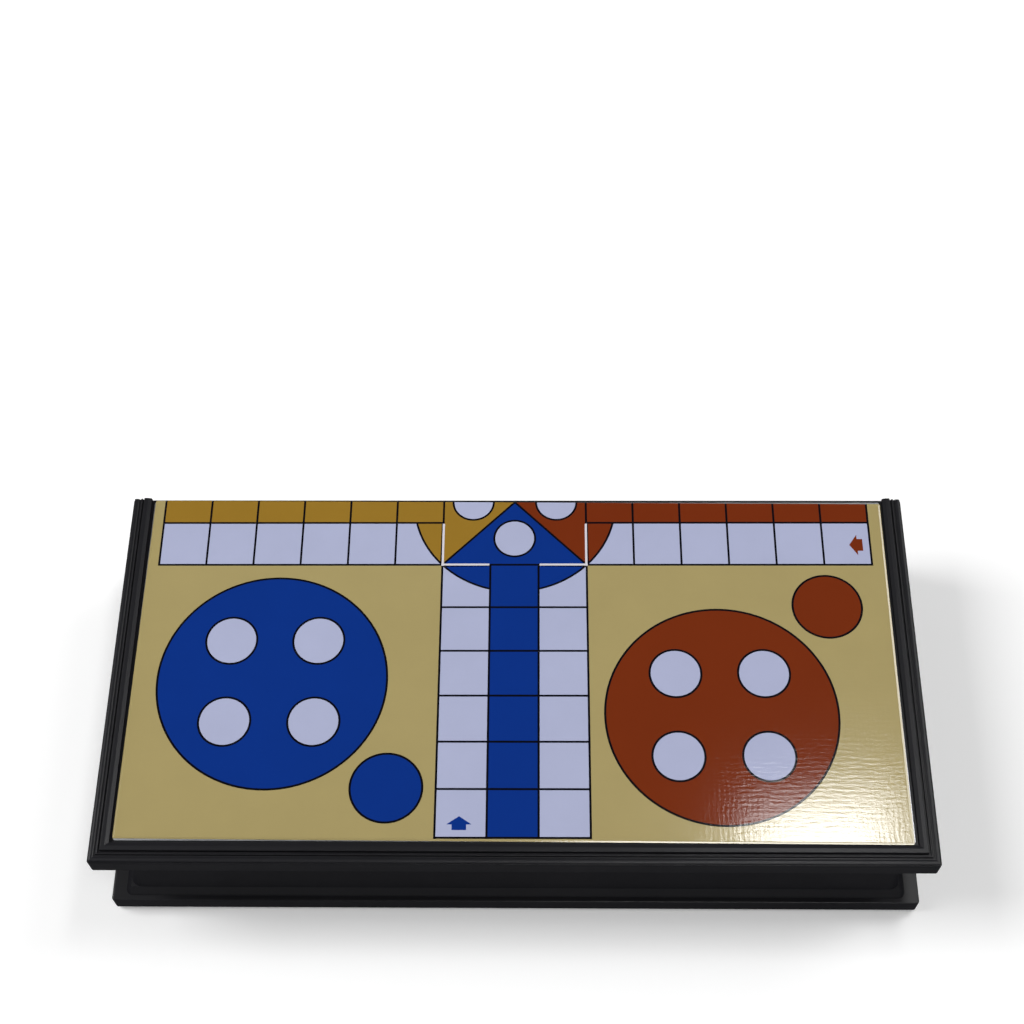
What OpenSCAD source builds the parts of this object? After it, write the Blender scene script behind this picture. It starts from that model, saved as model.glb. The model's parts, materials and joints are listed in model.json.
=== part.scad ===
// Folding board box for a travel game of ludo.
//
// Two mouldings from one tool make the box: the upper half is the lower half turned over.
// Each is a shallow tray with a picture-frame flange round three sides of its play face,
// a thin steel sheet with a printed sheet on it, and drafted walls that narrow to the rim.
// The halves turn on two steel pins at the back edge, and open flat to one square board.
// The tokens stand in the lower tray, each with a magnet in its base, beside one die.
//
// +X runs along the hinge, +Y to the back and +Z up. The origin is under the centre of the shut box.

/* [Box] */
// Width across the frame, left to right
box_w = 200; // [180:1:260]
// Depth of one half, from the fold to the front face
half_d = 98.6; // [90:0.2:130]
// Height of one half, from its play side to its rim
half_h = 17.8; // [16.8:0.05:24]
// Gap between the two rims when the box is shut
rim_gap = 0.3; // [0.2:0.05:0.6]
// Gap between the two back walls when the box lies open
fold_gap = 0.3; // [0.2:0.05:0.6]

/* [Frame moulding] */
// Height of the flange that carries the moulding
flange_h = 6.3; // [5:0.1:7.5]
// Width of the inner band, which stands proudest
inner_band_w = 2; // [1.2:0.1:3]
// Width of the slope along that band's inner edge
slope_w = 0.9; // [0.5:0.1:1.4]
// Drop of that slope
slope_drop = 0.3; // [0.28:0.02:0.5]
// Width of the groove on each side of the bead
groove_w = 0.42; // [0.3:0.02:0.8]
// Width of the round bead
bead_w = 0.5; // [0.3:0.05:0.9]
// Width of the outer band
outer_band_w = 1.25; // [0.9:0.05:2]
// Width of the lip outside the outer band
lip_w = 0.35; // [0.2:0.05:0.6]
// Depth of the grooves below the inner band
groove_drop = 0.9; // [0.6:0.05:1.1]
// Depth of the bead's crown below the inner band
bead_drop = 0.4; // [0.2:0.05:0.5]
// Depth of the outer band below the inner band
outer_band_drop = 0.5; // [0.2:0.05:0.5]
// Depth of the lip below the inner band
lip_drop = 1.15; // [0.9:0.05:1.4]
// Radius along the outer edge of the inner band
band_edge_r = 0.25; // [0.1:0.05:0.25]
// Radius of the outer band's crown
crown_r = 1.2; // [1.1:0.1:3]
// Radius along the flange's outer edges
flange_edge_r = 0.45; // [0.2:0.05:0.8]
// Radius of the flange's front corners, seen from above
flange_corner_r = 1; // [0.8:0.1:3]
// Radius of the rails' back ends, seen from above
rail_end_r = 0.6; // [0.3:0.1:1]

/* [Tray walls] */
// Width of the flat ledge on the flange, at the two sides
side_ledge_w = 3.5; // [2.5:0.1:4.5]
// Width of the flat ledge on the flange, at the front
front_ledge_w = 1.4; // [1:0.1:3]
// Width of the sloping foot between ledge and wall
foot_w = 1.5; // [0.8:0.1:2.5]
// Height of the sloping foot
foot_h = 2.3; // [0.8:0.1:2.5]
// Radius of the foot's corners at its top
foot_corner_r = 0.3; // [0.2:0.1:1]
// Lean of the walls' outer faces, in degrees
outer_draft = 11; // [3:0.5:12]
// Thickness of the three outer walls at the rim
wall_t = 2; // [1.4:0.1:3]
// Thickness of the wall along the fold
back_wall_t = 2; // [1.4:0.1:3]
// Thickness of the tray's floor
floor_t = 1.5; // [1:0.1:2.5]
// Radius of the walls' outer corners at the rim
rim_corner_r = 1; // [0.6:0.1:3]
// Radius of the cavity's corners
cavity_corner_r = 3; // [2:0.5:5]

/* [Wells] */
// Distance of each divider from the middle
divider_x = 31; // [22:1:36]
// Thickness of a divider
divider_t = 1.2; // [0.8:0.1:2]
// Height of a divider above the floor
divider_h = 8; // [5:0.5:10]
// Radius of the finger scoop in a divider
scoop_r = 30; // [20:1:45]
// Depth of the finger scoop in a divider
scoop_depth = 4; // [2:0.5:6]

/* [Rim pegs] */
// Distance of the peg, and of its socket, from the box's side
peg_inset = 40; // [30:1:55]
// Radius of a peg
peg_r = 1.2; // [0.8:0.1:1.6]
// Height of a peg above its rim
peg_h = 2; // [1:0.1:3]
// Clearance round a peg, and above it, in its socket
peg_clear = 0.35; // [0.2:0.05:0.6]
// Plastic round a socket
socket_wall = 1.1; // [0.8:0.1:2]

/* [Hinge] */
// Distance of each hinge's middle from the box's side
hinge_inset = 34; // [25:1:50]
// Width of one knuckle
knuckle_w = 8; // [5:0.5:12]
// Radius of a knuckle
knuckle_r = 2.6; // [2.2:0.1:3.2]
// Gap between neighbouring knuckles
knuckle_gap = 0.3; // [0.2:0.05:0.6]
// Clearance round a knuckle in the other half's wall
notch_clear = 0.35; // [0.3:0.05:0.6]
// Radius of a hinge pin
pin_r = 1; // [0.7:0.05:1.2]
// Running clearance of a pin in its knuckles
pin_fit = 0.04; // [0.02:0.01:0.08]
// Depth of a pin's end inside its outer knuckle
pin_inset = 0.4; // [0.2:0.1:1]
// Reach of the gusset that stiffens a knuckle
gusset_reach = 2.2; // [1.2:0.1:3]
// Height of that gusset
gusset_h = 6; // [4:0.5:8]

/* [Play faces] */
// Depth of the print below the inner band
print_recess = 0.8; // [0.4:0.1:1.4]
// Thickness of the printed sheet
print_t = 0.2; // [0.1:0.05:0.4]
// Thickness of the steel sheet
steel_t = 0.3; // [0.2:0.05:0.6]
// Gap between a sheet and the frame
sheet_gap = 0.75; // [0.2:0.05:1.2]
// Distance of a sheet's back edge from the fold
fold_inset = 0.9; // [0.3:0.1:1.5]
// Radius of a sheet's corners
sheet_corner_r = 0.5; // [0.3:0.1:2]

/* [Tokens and die] */
// Diameter of a token's base
token_d = 9.2; // [8:0.1:10]
// Height of a token
token_h = 13; // [10:0.5:13.5]
// Height of a token's straight base
token_base_h = 1.6; // [1:0.1:2.5]
// Diameter of a token's ball head
head_d = 5.4; // [4:0.1:6.5]
// Diameter of a token's neck
neck_d = 2.9; // [2.2:0.1:3.6]
// Distance between tokens in a row
token_pitch = 14; // [11:0.5:16]
// Gap between the rows and the tray's side wall
token_wall_gap = 2.5; // [1:0.5:5]
// Diameter of a magnet
magnet_d = 6; // [4:0.5:6.5]
// Thickness of a magnet
magnet_t = 2; // [1:0.5:2.5]
// Clearance of a magnet in its seat, and its height above the token's underside
magnet_fit = 0.1; // [0.05:0.05:0.2]
// Size of the die
die_s = 8; // [6:0.5:10]
// Roundness of the die, as its diameter across the cut corners over its size
die_round = 1.46; // [1.4:0.01:1.55]
// Diameter of a pip
pip_d = 1.5; // [1:0.1:1.8]
// Depth of a pip
pip_depth = 0.35; // [0.2:0.05:0.6]
// Distance between the pips of a face
pip_pitch = 2.2; // [1.6:0.1:2.4]

/* [Hidden] */
$fn = 48;
COLOURS = ["blue", "red", "green", "yellow"];
TOKEN_NODES = [for (c = COLOURS) for (i = [1:4]) str("token_", c, "_", i)];
MAGNET_NODES = [for (c = COLOURS) for (i = [1:4]) str("magnet_", c, "_", i)];

black_plastic = "#1D1E20";
bright_steel = "#A9ACB0";
nickel = "#C9CACC";
gold_print = "#C0B47C";
ivory = "#EDE9DD";
TOKEN_COLOURS = ["#1C489A", "#9A3A22", "#1F7A3C", "#D9B23C"];

over = 1;
half_w = box_w / 2;
peg_x = half_w - peg_inset;
hinge_x = half_w - hinge_inset;
frame_w = inner_band_w + 2 * groove_w + bead_w + outer_band_w + lip_w;
shut_h = 2 * half_h + rim_gap;
back_face = -fold_gap / 2;
hinge_z = half_h + rim_gap / 2;
fold_y = (half_d - knuckle_r) / 2;

floor_under = print_recess + print_t + steel_t;
floor_top = floor_under + floor_t;
wall_foot_z = flange_h + foot_h;
outer_lean = (half_h - wall_foot_z) * tan(outer_draft);
side_rim_in = side_ledge_w + foot_w + outer_lean;
front_rim_in = front_ledge_w + foot_w + outer_lean;
cavity_half_w = half_w - side_rim_in - wall_t;
cavity_front = half_d - front_rim_in - wall_t;
cavity_back = back_face - back_wall_t;

socket_r = peg_r + peg_clear;
boss_r = socket_r + socket_wall;
boss_y = -half_d + front_rim_in + boss_r + peg_clear;

knuckle_step = knuckle_w + knuckle_gap;
OWN_KNUCKLES = [-hinge_x - knuckle_step, -hinge_x + knuckle_step, hinge_x];
pin_length = 3 * knuckle_w + 2 * knuckle_gap - 2 * pin_inset;

sheet_half_w = half_w - frame_w - sheet_gap;
sheet_front = half_d - frame_w - sheet_gap;

row_x = cavity_half_w - token_wall_gap - token_d / 2;
row_step = token_d + token_wall_gap;
row_middle_y = (cavity_back - cavity_front) / 2;
die_y = cavity_back - 2 * die_s;

// A cuboid between two corners.
module span(low, high) {
    translate(low) cube(high - low);
}

// A flat outline with its own radius at the front corners and at the back corners.
module plan(half, front, back, front_r, back_r) {
    for (side = [-1, 1]) {
        translate([side * (half - front_r), -front + front_r]) circle(front_r);
        translate([side * (half - back_r), back - back_r]) circle(back_r);
    }
    translate([-half + front_r, -front]) square([2 * (half - front_r), front_r + over]);
    translate([-half, -front + front_r]) square([2 * half, front + back - front_r - back_r]);
    translate([-half + back_r, back - back_r]) square([2 * (half - back_r), back_r]);
}

// A block whose four sides lean in by lean over its height, with conical corners.
module leaning_block(half, front, back, r, lean, h) {
    side = [[-half, 0], [half, 0], [half - lean, h], [lean - half, h]];
    end = [[-front, 0], [back, 0], [back - lean, h], [lean - front, h]];
    translate([0, back - r, 0]) rotate([90, 0, 0]) linear_extrude(front + back - 2 * r) polygon(side);
    translate([r - half, 0, 0]) rotate([90, 0, 90]) linear_extrude(2 * (half - r)) polygon(end);
    for (x = [r - half, half - r], y = [r - front, back - r]) {
        translate([x, y, 0]) cylinder(h = h, r1 = r, r2 = r - lean);
    }
}

// The inner band in section: flat, with a round outer edge and a slope along the inner one.
module inner_band_section() {
    from = frame_w - inner_band_w;
    translate([from + band_edge_r, band_edge_r]) circle(band_edge_r);
    polygon([
        [from, flange_h / 2], [from, band_edge_r], [from + band_edge_r, band_edge_r],
        [from + band_edge_r, 0], [frame_w - slope_w, 0], [frame_w, slope_drop], [frame_w, flange_h / 2]
    ]);
}

// The outer band in section, with a crowned top.
module outer_band_section() {
    translate([lip_w + outer_band_w / 2, outer_band_drop + crown_r]) intersection() {
        circle(crown_r, $fn = 96);
        translate([-outer_band_w / 2, -crown_r]) square([outer_band_w, crown_r]);
    }
}

// The flange and its moulding in section: inwards along X, and from the play side along Y.
module rail_section() {
    bead_from = lip_w + outer_band_w + groove_w;
    translate([0, lip_drop + flange_edge_r]) square([frame_w, flange_h - lip_drop - 2 * flange_edge_r]);
    translate([flange_edge_r, lip_drop]) square([frame_w - flange_edge_r, flange_h - lip_drop]);
    for (h = [lip_drop + flange_edge_r, flange_h - flange_edge_r]) {
        translate([flange_edge_r, h]) circle(flange_edge_r);
    }
    translate([lip_w, groove_drop]) square([frame_w - lip_w, flange_h - groove_drop - flange_edge_r]);
    outer_band_section();
    translate([bead_from, bead_drop + bead_w / 2]) square([bead_w, flange_h / 2]);
    translate([bead_from + bead_w / 2, bead_drop + bead_w / 2]) circle(bead_w / 2);
    inner_band_section();
}

// The front rail and the two side rails, mitred at the front corners.
module rails() {
    inner_half = half_w - frame_w;
    inner_front = frame_w - half_d;
    intersection() {
        translate([-half_w, -half_d, 0]) rotate([90, 0, 90]) linear_extrude(box_w) rail_section();
        linear_extrude(half_h) polygon([
            [-half_w, -half_d], [half_w, -half_d], [inner_half, inner_front], [-inner_half, inner_front]
        ]);
    }
    for (side = [0, 1]) mirror([side, 0, 0]) intersection() {
        translate([-half_w, back_face, 0]) rotate([90, 0, 0])
            linear_extrude(half_d + back_face) rail_section();
        linear_extrude(half_h) polygon([
            [-half_w, -half_d], [-inner_half, inner_front], [-inner_half, 0], [-half_w, 0]
        ]);
    }
}

// The space that the tray holds.
module cavity() {
    translate([0, 0, floor_top]) linear_extrude(half_h)
        plan(cavity_half_w, cavity_front, cavity_back, cavity_corner_r, cavity_corner_r);
}

// Floor, ledge, foot and walls, with the cavity cut out.
module shell() {
    intersection() {
        span([-half_w, -half_d, 0], [half_w, back_face, half_h]);
        difference() {
            union() {
                inset = frame_w - over;
                span([inset - half_w, inset - half_d, floor_under], [half_w - inset, back_face, flange_h]);
                translate([0, 0, flange_h]) leaning_block(
                    half_w - side_ledge_w, half_d - front_ledge_w, half_w,
                    foot_corner_r + foot_w, foot_w, foot_h
                );
                translate([0, 0, wall_foot_z]) leaning_block(
                    half_w - side_rim_in + outer_lean, half_d - front_rim_in + outer_lean, half_w,
                    rim_corner_r + outer_lean, outer_lean, half_h - wall_foot_z
                );
            }
            cavity();
        }
    }
}

// A divider across the cavity, with a round finger scoop in its top edge.
module divider(x) {
    top = floor_top + divider_h;
    difference() {
        span(
            [x - divider_t / 2, -cavity_front - over, floor_top - floor_t / 2],
            [x + divider_t / 2, cavity_back + over, top]
        );
        translate([x, row_middle_y, top + scoop_r - scoop_depth]) rotate([0, 90, 0])
            cylinder(h = divider_t + 2 * over, r = scoop_r, center = true, $fn = 96);
    }
}

// A round boss from the floor to the rim, behind the front wall.
module boss(x) {
    translate([x, boss_y, floor_top - floor_t / 2]) cylinder(h = half_h - floor_top + floor_t / 2, r = boss_r);
    span([x - boss_r, -half_d + front_rim_in + wall_t / 2, floor_top], [x + boss_r, boss_y, half_h]);
}

// The peg on a boss, with a cone at its tip.
module peg(x) {
    straight = peg_h - peg_r / 2;
    translate([x, boss_y, half_h - over]) cylinder(h = straight + over, r = peg_r);
    translate([x, boss_y, half_h + straight]) cylinder(h = peg_r / 2, r1 = peg_r, r2 = peg_r / 2);
}

// A cylinder along the hinge axis, centred on x.
module on_hinge(x, r, width) {
    translate([x, 0, hinge_z]) rotate([0, 90, 0]) cylinder(h = width, r = r, center = true);
}

// The knuckle's gusset, inside the back wall.
module gusset(x) {
    inner = cavity_back + back_wall_t / 2;
    translate([x - knuckle_w / 2, 0, 0]) rotate([90, 0, 90]) linear_extrude(knuckle_w) polygon([
        [inner, half_h], [cavity_back - gusset_reach, half_h],
        [cavity_back - gusset_reach, half_h - knuckle_r], [cavity_back, half_h - gusset_h],
        [inner, half_h - gusset_h]
    ]);
}

// One moulded half, play side down, with the fold along y = 0.
module tray_half() {
    difference() {
        union() {
            difference() {
                intersection() {
                    union() {
                        rails();
                        shell();
                    }
                    linear_extrude(half_h) plan(half_w, half_d, back_face, flange_corner_r, rail_end_r);
                }
                for (x = OWN_KNUCKLES) on_hinge(-x, knuckle_r + notch_clear, knuckle_w + 2 * knuckle_gap);
            }
            for (x = [-divider_x, divider_x]) divider(x);
            for (x = [-peg_x, peg_x]) boss(x);
            peg(peg_x);
            for (x = OWN_KNUCKLES) {
                on_hinge(x, knuckle_r, knuckle_w);
                gusset(x);
            }
        }
        for (x = OWN_KNUCKLES) on_hinge(x, pin_r + pin_fit, knuckle_w + over);
        translate([-peg_x, boss_y, half_h - peg_h - peg_clear]) cylinder(h = peg_h + over, r = socket_r);
    }
}

// A sheet of the play face, between two depths from the play side.
module play_sheet(from, thickness) {
    translate([0, 0, from]) linear_extrude(thickness)
        plan(sheet_half_w, sheet_front, -fold_inset, sheet_corner_r, sheet_corner_r);
}

// Places a half's own frame in the box: 0 is the lower half and 1 the upper.
module in_half(which) {
    translate([0, fold_y, which * shut_h]) rotate([0, which * 180, 0]) children();
}

module tray(which) {
    color(black_plastic) in_half(which) tray_half();
}

module steel_sheet(which) {
    color(bright_steel) in_half(which) play_sheet(print_recess + print_t, steel_t);
}

module printed_sheet(which) {
    color(gold_print) in_half(which) play_sheet(print_recess, print_t);
}

module hinge_pin(side) {
    color(bright_steel) in_half(0) on_hinge(side * hinge_x, pin_r, pin_length);
}

// The solid of one token, standing on z = 0.
module token_form() {
    base_r = token_d / 2;
    head_r = head_d / 2;
    neck_r = neck_d / 2;
    head_z = token_h - head_r;
    neck_z = head_z - sqrt(head_r * head_r - neck_r * neck_r);
    flare = base_r - neck_r;
    rise = neck_z - token_base_h;
    rotate_extrude() difference() {
        union() {
            square([base_r, token_base_h]);
            square([neck_r, head_z]);
            intersection() {
                translate([0, head_z]) circle(head_r);
                translate([0, head_z - head_r]) square([head_r, head_d]);
            }
            polygon(concat(
                [[0, token_base_h]],
                [for (t = [0:0.125:1]) [neck_r + flare * 0.86 * pow(1 - t, 2.2), token_base_h + rise * t]],
                [[0, neck_z]]
            ));
        }
        translate([-over, -over]) square([over + magnet_d / 2 + magnet_fit, over + magnet_t + 2 * magnet_fit]);
    }
}

// The place of a token in the lower tray: colours 0 and 3 on the left, 1 and 2 on the right.
function token_place(colour, i) =
    let (left = colour == 0 || colour == 3, outer = colour < 2)
    [(left ? -1 : 1) * (row_x - (outer ? 0 : row_step)), row_middle_y + (i - 2.5) * token_pitch, floor_top];

module token(colour, i) {
    color(TOKEN_COLOURS[colour]) in_half(0) translate(token_place(colour, i)) token_form();
}

module magnet(colour, i) {
    color(nickel) in_half(0) translate(token_place(colour, i) + [0, 0, magnet_fit])
        cylinder(h = magnet_t, r = magnet_d / 2);
}

// The middles of a face's pips, in steps of the pip pitch.
function pips(n) = concat(
    n % 2 == 1 ? [[0, 0]] : [],
    n > 1 ? [[-1, -1], [1, 1]] : [],
    n > 3 ? [[-1, 1], [1, -1]] : [],
    n > 5 ? [[-1, 0], [1, 0]] : []
);

// Cuts the pips of one face, at the top of a cube centred on the origin.
module pip_cuts(n) {
    bowl_r = (pow(pip_d / 2, 2) + pow(pip_depth, 2)) / (2 * pip_depth);
    for (p = pips(n)) {
        translate([p[0] * pip_pitch, p[1] * pip_pitch, die_s / 2 - pip_depth + bowl_r])
            sphere(bowl_r, $fn = 24);
    }
}

module die() {
    color(ivory) in_half(0) translate([0, die_y, floor_top + die_s / 2]) difference() {
        intersection() {
            cube(die_s, center = true);
            sphere(die_s * die_round / 2, $fn = 64);
        }
        pip_cuts(6);
        rotate([180, 0, 0]) pip_cuts(1);
        rotate([90, 0, 0]) pip_cuts(5);
        rotate([-90, 0, 0]) pip_cuts(2);
        rotate([0, 90, 0]) pip_cuts(3);
        rotate([0, -90, 0]) pip_cuts(4);
    }
}

tray(0);  // lower_tray
tray(1);  // upper_tray
steel_sheet(0);  // lower_steel_sheet
steel_sheet(1);  // upper_steel_sheet
printed_sheet(0);  // lower_printed_sheet
printed_sheet(1);  // upper_printed_sheet
hinge_pin(-1);  // hinge_pin_left
hinge_pin(1);  // hinge_pin_right
die();
for (c = [0:3]) for (i = [1:4]) {
    token(c, i);
    magnet(c, i);
}
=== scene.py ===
"""Looks of a folding ludo board box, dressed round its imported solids.

The box is two black tray mouldings on a pair of steel pins. Each carries a steel sheet and, over it,
a printed sheet with one half of the playing field. This script lays the print out in inks, gives every
solid its finish, paints the die's pips, and sets up a plain studio with the camera at the photograph's
angle.

Lengths are in millimetres until they reach a mesh, which is in metres.
"""

from __future__ import annotations

import json
import logging
import math
from dataclasses import dataclass, field
from enum import Enum
from typing import Any, Callable, Iterator, Mapping, Optional, Sequence

import bmesh
import bpy
from mathutils import Matrix, Vector
from mathutils.geometry import delaunay_2d_cdt

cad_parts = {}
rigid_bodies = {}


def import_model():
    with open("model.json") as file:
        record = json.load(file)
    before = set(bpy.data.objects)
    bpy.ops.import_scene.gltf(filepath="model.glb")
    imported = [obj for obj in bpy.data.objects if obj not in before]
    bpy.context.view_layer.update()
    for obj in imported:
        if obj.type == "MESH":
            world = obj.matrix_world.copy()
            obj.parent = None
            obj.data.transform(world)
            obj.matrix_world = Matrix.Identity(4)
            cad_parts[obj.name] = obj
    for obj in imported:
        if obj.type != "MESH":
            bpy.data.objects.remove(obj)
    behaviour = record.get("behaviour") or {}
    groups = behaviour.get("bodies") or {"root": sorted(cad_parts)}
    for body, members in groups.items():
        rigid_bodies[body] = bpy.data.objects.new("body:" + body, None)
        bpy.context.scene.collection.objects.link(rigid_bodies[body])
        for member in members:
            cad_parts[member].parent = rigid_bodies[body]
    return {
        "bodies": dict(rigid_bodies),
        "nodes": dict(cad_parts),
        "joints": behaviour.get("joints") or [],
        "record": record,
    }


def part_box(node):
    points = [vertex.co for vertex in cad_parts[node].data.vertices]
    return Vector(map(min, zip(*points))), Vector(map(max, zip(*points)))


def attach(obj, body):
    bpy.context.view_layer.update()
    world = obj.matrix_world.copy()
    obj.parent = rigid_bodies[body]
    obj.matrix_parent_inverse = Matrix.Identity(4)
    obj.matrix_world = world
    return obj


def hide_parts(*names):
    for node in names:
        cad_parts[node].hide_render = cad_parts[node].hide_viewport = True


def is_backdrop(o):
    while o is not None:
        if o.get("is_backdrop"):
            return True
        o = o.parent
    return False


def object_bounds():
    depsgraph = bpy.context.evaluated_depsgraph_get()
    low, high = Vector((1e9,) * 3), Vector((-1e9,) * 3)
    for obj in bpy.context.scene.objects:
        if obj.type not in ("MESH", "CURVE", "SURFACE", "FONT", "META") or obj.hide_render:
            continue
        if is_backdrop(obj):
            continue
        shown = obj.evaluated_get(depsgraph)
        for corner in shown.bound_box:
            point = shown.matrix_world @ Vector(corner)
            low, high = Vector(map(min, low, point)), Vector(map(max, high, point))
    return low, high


LOG = logging.getLogger("ludo_box")
MM = 0.001
QUARTER_TURN = math.pi / 2
# The span that nearly all of a noise texture's values lie in.
NOISE_LOW = 0.25
NOISE_HIGH = 0.75

Point = tuple[float, float]
Place = tuple[float, float, float]
Outline = list[Point]


class Half(Enum):
    """The two halves of the box, which differ in the side that their play face looks to."""

    UPPER = 1
    LOWER = -1

    @property
    def label(self) -> str:
        """The word that the solids' names begin with."""
        return self.name.lower()

    @property
    def body(self) -> str:
        """The moving body that this half is."""
        return f"{self.label}_half"


class Ink(Enum):
    """The printer's inks, and the card at the sheet's edge, its brown darkened with painted shade of the
    gap round the sheet. The value is the sRGB colour.
    """

    GOLD = "#AC9C68"
    WHITE = "#AEB3D0"
    BLUE = "#093184"
    ORANGE = "#752D0F"
    GREEN = "#1B5A33"
    OCHRE = "#967328"
    KEY_LINE = "#06060F"
    PALE_LINE = "#D8D4DA"
    # Card brown, darkened with painted shade of the gap between the sheet and the frame.
    CUT_EDGE = "#5B4028"


def linear(code: str) -> tuple[float, float, float, float]:
    """Turns an sRGB hex value into a linear colour.

    Args:
        code: The colour as #RRGGBB.

    Returns:
        Linear red, green and blue, with an alpha of one.
    """
    shares = [int(code[i:i + 2], 16) / 255 for i in (1, 3, 5)]
    red, green, blue = (s / 12.92 if s <= 0.04045 else ((s + 0.055) / 1.055) ** 2.4 for s in shares)
    return red, green, blue, 1.0


def add_node(
    tree: bpy.types.NodeTree,
    kind: str,
    settings: Optional[Mapping[str, Any]] = None,
    inputs: Optional[Mapping[Any, Any]] = None,
) -> bpy.types.Node:
    """Adds one node to a tree.

    Args:
        tree: The tree that takes the node.
        kind: Blender's name for the node's type.
        settings: The node's own properties.
        inputs: Values or output sockets for its inputs, by name or number.

    Returns:
        The new node.
    """
    made = tree.nodes.new(kind)
    for name, value in (settings or {}).items():
        setattr(made, name, value)
    for key, value in (inputs or {}).items():
        if isinstance(value, bpy.types.NodeSocket):
            tree.links.new(value, made.inputs[key])
        else:
            made.inputs[key].default_value = value
    return made


@dataclass(frozen=True)
class Finish:
    """One surface, from what it is made of and how it was made."""

    name: str
    colour: str
    roughness: float
    specular: float = 0.5
    metallic: float = 0.0
    coat: float = 0.0
    coat_roughness: float = 0.05

    def build(self) -> bpy.types.Material:
        """Makes the material.

        Returns:
            The material, with its pattern in place.
        """
        made = bpy.data.materials.new(self.name)
        made.use_nodes = True
        tree = made.node_tree
        shader = tree.nodes["Principled BSDF"]
        shader.inputs["Base Color"].default_value = linear(self.colour)
        shader.inputs["Roughness"].default_value = self.roughness
        shader.inputs["Metallic"].default_value = self.metallic
        shader.inputs["Specular IOR Level"].default_value = self.specular
        shader.inputs["Coat Weight"].default_value = self.coat
        shader.inputs["Coat Roughness"].default_value = self.coat_roughness
        self.pattern(tree, shader)
        return made

    def pattern(self, tree: bpy.types.NodeTree, shader: bpy.types.Node) -> None:
        """Adds this finish's own pattern, which the plain finish lacks.

        Args:
            tree: The material's nodes.
            shader: The shader that the pattern feeds.
        """

    def place(self, tree: bpy.types.NodeTree, period: Sequence[float]) -> bpy.types.NodeSocket:
        """Object coordinates, counted in periods of a pattern.

        Args:
            tree: The material's nodes.
            period: The pattern's size along X, Y and Z, in millimetres.

        Returns:
            The scaled coordinates.
        """
        source = add_node(tree, "ShaderNodeTexCoord")
        scale = [1 / (p * MM) for p in period]
        return add_node(
            tree, "ShaderNodeMapping", inputs={"Vector": source.outputs["Object"], "Scale": scale}
        ).outputs["Vector"]

    def vary(
        self,
        tree: bpy.types.NodeTree,
        shader: bpy.types.Node,
        period: Sequence[float],
        colour_share: float,
        roughness_share: float,
    ) -> None:
        """Lets the colour and the roughness drift with a soft noise.

        Args:
            tree: The material's nodes.
            shader: The shader that is fed.
            period: The noise's size along X, Y and Z, in millimetres.
            colour_share: How far the colour may darken or lighten, as a share of itself.
            roughness_share: How far the roughness may move, as a share of itself.
        """
        noise = add_node(
            tree,
            "ShaderNodeTexNoise",
            inputs={"Vector": self.place(tree, period), "Scale": 1.0, "Detail": 4.0, "Roughness": 0.6},
        ).outputs["Fac"]
        value = add_node(
            tree,
            "ShaderNodeMapRange",
            inputs={"Value": noise, "From Min": NOISE_LOW, "From Max": NOISE_HIGH,
                    "To Min": 1 - colour_share, "To Max": 1 + colour_share},
        )
        tint = add_node(
            tree,
            "ShaderNodeHueSaturation",
            inputs={"Color": linear(self.colour), "Value": value.outputs["Result"]},
        )
        tree.links.new(tint.outputs["Color"], shader.inputs["Base Color"])
        rough = add_node(
            tree,
            "ShaderNodeMapRange",
            inputs={"Value": noise, "From Min": NOISE_LOW, "From Max": NOISE_HIGH,
                    "To Min": self.roughness * (1 + roughness_share),
                    "To Max": self.roughness * (1 - roughness_share)},
        )
        tree.links.new(rough.outputs["Result"], shader.inputs["Roughness"])


@dataclass(frozen=True)
class MouldedBlack(Finish):
    """Black high-impact polystyrene, injection moulded.

    The mould was polished where the rails lie, which gives them a satin skin, and spark-eroded on the
    sides, which leaves them nearly matt.
    """

    grain: float = 0.22
    grain_strength: float = 0.10
    edge_radius: float = 0.12
    skin_index: float = 2.0
    side_skin: float = 0.03
    side_flatness: float = 0.5
    rail_flatness: float = 0.9
    flow: float = 18.0
    flow_tone: float = 0.12
    flow_sheen: float = 0.18

    def pattern(self, tree: bpy.types.NodeTree, shader: bpy.types.Node) -> None:
        """Adds the satin skin, the drift of the sheen, the mould's grain and the rounding of every edge.

        Args:
            tree: The material's nodes.
            shader: The shader that the pattern feeds.
        """
        shader.inputs["Coat IOR"].default_value = self.skin_index
        facing = add_node(
            tree,
            "ShaderNodeSeparateXYZ",
            inputs={"Vector": add_node(tree, "ShaderNodeTexCoord").outputs["Normal"]},
        )
        flatness = add_node(
            tree, "ShaderNodeMath", {"operation": "ABSOLUTE"}, {0: facing.outputs["Z"]}
        )
        skin = add_node(
            tree,
            "ShaderNodeMapRange",
            inputs={"Value": flatness.outputs[0],
                    "From Min": self.side_flatness, "From Max": self.rail_flatness,
                    "To Min": self.side_skin, "To Max": self.coat},
        )
        tree.links.new(skin.outputs["Result"], shader.inputs["Coat Weight"])
        self.vary(tree, shader, [self.flow] * 3, self.flow_tone, self.flow_sheen)
        grain = add_node(
            tree,
            "ShaderNodeTexNoise",
            inputs={"Vector": self.place(tree, [self.grain] * 3), "Scale": 1.0, "Detail": 3.0},
        )
        rounded = add_node(
            tree, "ShaderNodeBevel", {"samples": 4}, {"Radius": self.edge_radius * MM}
        )
        bump = add_node(
            tree,
            "ShaderNodeBump",
            inputs={"Height": grain.outputs["Fac"], "Strength": self.grain_strength,
                    "Distance": self.grain * MM, "Normal": rounded.outputs["Normal"]},
        )
        tree.links.new(bump.outputs["Normal"], shader.inputs["Normal"])


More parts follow.
